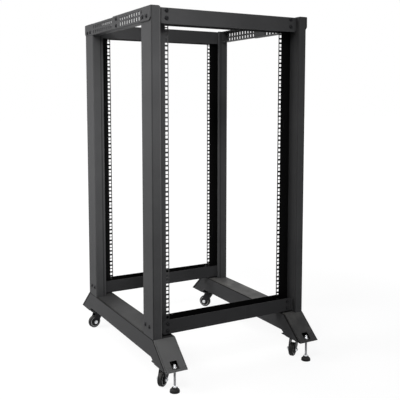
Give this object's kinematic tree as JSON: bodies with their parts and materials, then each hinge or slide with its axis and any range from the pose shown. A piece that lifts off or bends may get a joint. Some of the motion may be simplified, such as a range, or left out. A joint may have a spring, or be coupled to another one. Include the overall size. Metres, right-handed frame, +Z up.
{
  "type": "four post open frame rack",
  "caption": "Open frame rack with folded steel posts, square mounting holes, flared base channels, levelling feet and swivel casters.",
  "frame": {"origin": "on the floor, midway between the four posts", "axes": "+Z up, -Y the front, +X the right side seen from the front"},
  "size_m": [0.6293, 0.82, 1.2529],
  "materials": {
    "powder_coat": "fine textured satin powder coat",
    "caster_steel": "satin black coat",
    "zinc": "bright zinc",
    "wheel_plastic": "moulded, dark grey",
    "tread": "smooth tread",
    "pad_rubber": "matte"
  },
  "bodies": {
    "root": {"post_front_left": "powder_coat", "post_front_right": "powder_coat", "post_rear_left": "powder_coat", "post_rear_right": "powder_coat", "beam_bottom_front": "powder_coat", "beam_top_front": "powder_coat", "beam_bottom_rear": "powder_coat", "beam_top_rear": "powder_coat", "top_rail_left_front": "powder_coat", "top_rail_left_rear": "powder_coat", "base_channel_left": "powder_coat", "top_rail_right_front": "powder_coat", "top_rail_right_rear": "powder_coat", "base_channel_right": "powder_coat", "toe_plate_front_left": "powder_coat", "caster_plate_front_left": "caster_steel", "toe_plate_front_right": "powder_coat", "caster_plate_front_right": "caster_steel", "toe_plate_rear_left": "powder_coat", "caster_plate_rear_left": "caster_steel", "toe_plate_rear_right": "powder_coat", "caster_plate_rear_right": "caster_steel", "leveller_stud_left": "zinc", "leveller_nuts_left": "zinc", "leveller_pad_left": "pad_rubber", "leveller_stud_right": "zinc", "leveller_nuts_right": "zinc", "leveller_pad_right": "pad_rubber"},
    "swivel_front_left": {"caster_fork_front_left": "caster_steel", "caster_axle_front_left": "zinc"},
    "wheel_front_left": {"caster_wheel_front_left": "wheel_plastic", "caster_tyre_front_left": "tread"},
    "swivel_front_right": {"caster_fork_front_right": "caster_steel", "caster_axle_front_right": "zinc"},
    "wheel_front_right": {"caster_wheel_front_right": "wheel_plastic", "caster_tyre_front_right": "tread"},
    "swivel_rear_left": {"caster_fork_rear_left": "caster_steel", "caster_axle_rear_left": "zinc"},
    "wheel_rear_left": {"caster_wheel_rear_left": "wheel_plastic", "caster_tyre_rear_left": "tread"},
    "swivel_rear_right": {"caster_fork_rear_right": "caster_steel", "caster_axle_rear_right": "zinc"},
    "wheel_rear_right": {"caster_wheel_rear_right": "wheel_plastic", "caster_tyre_rear_right": "tread"}
  },
  "joints": [
    {"name": "swivel_front_left", "type": "hinge", "parent": "root", "child": "swivel_front_left", "pos_m": [-0.27, -0.322, 0.062], "axis": [0, 0, 1], "continuous": true},
    {"name": "spin_front_left", "type": "hinge", "parent": "swivel_front_left", "child": "wheel_front_left", "pos_m": [-0.28618, -0.33376, 0.025], "axis": [-0.5878, 0.809, 0], "continuous": true},
    {"name": "swivel_front_right", "type": "hinge", "parent": "root", "child": "swivel_front_right", "pos_m": [0.27, -0.322, 0.062], "axis": [0, 0, 1], "continuous": true},
    {"name": "spin_front_right", "type": "hinge", "parent": "swivel_front_right", "child": "wheel_front_right", "pos_m": [0.25342, -0.33318, 0.025], "axis": [-0.5592, 0.829, 0], "continuous": true},
    {"name": "swivel_rear_left", "type": "hinge", "parent": "root", "child": "swivel_rear_left", "pos_m": [-0.27, 0.322, 0.062], "axis": [0, 0, 1], "continuous": true},
    {"name": "spin_rear_left", "type": "hinge", "parent": "swivel_rear_left", "child": "wheel_rear_left", "pos_m": [-0.28975, 0.31887, 0.025], "axis": [-0.1564, 0.9877, 0], "continuous": true},
    {"name": "swivel_rear_right", "type": "hinge", "parent": "root", "child": "swivel_rear_right", "pos_m": [0.27, 0.322, 0.062], "axis": [0, 0, 1], "continuous": true},
    {"name": "spin_rear_right", "type": "hinge", "parent": "swivel_rear_right", "child": "wheel_rear_right", "pos_m": [0.25796, 0.33797, 0.025], "axis": [0.7986, 0.6018, 0], "continuous": true}
  ]
}
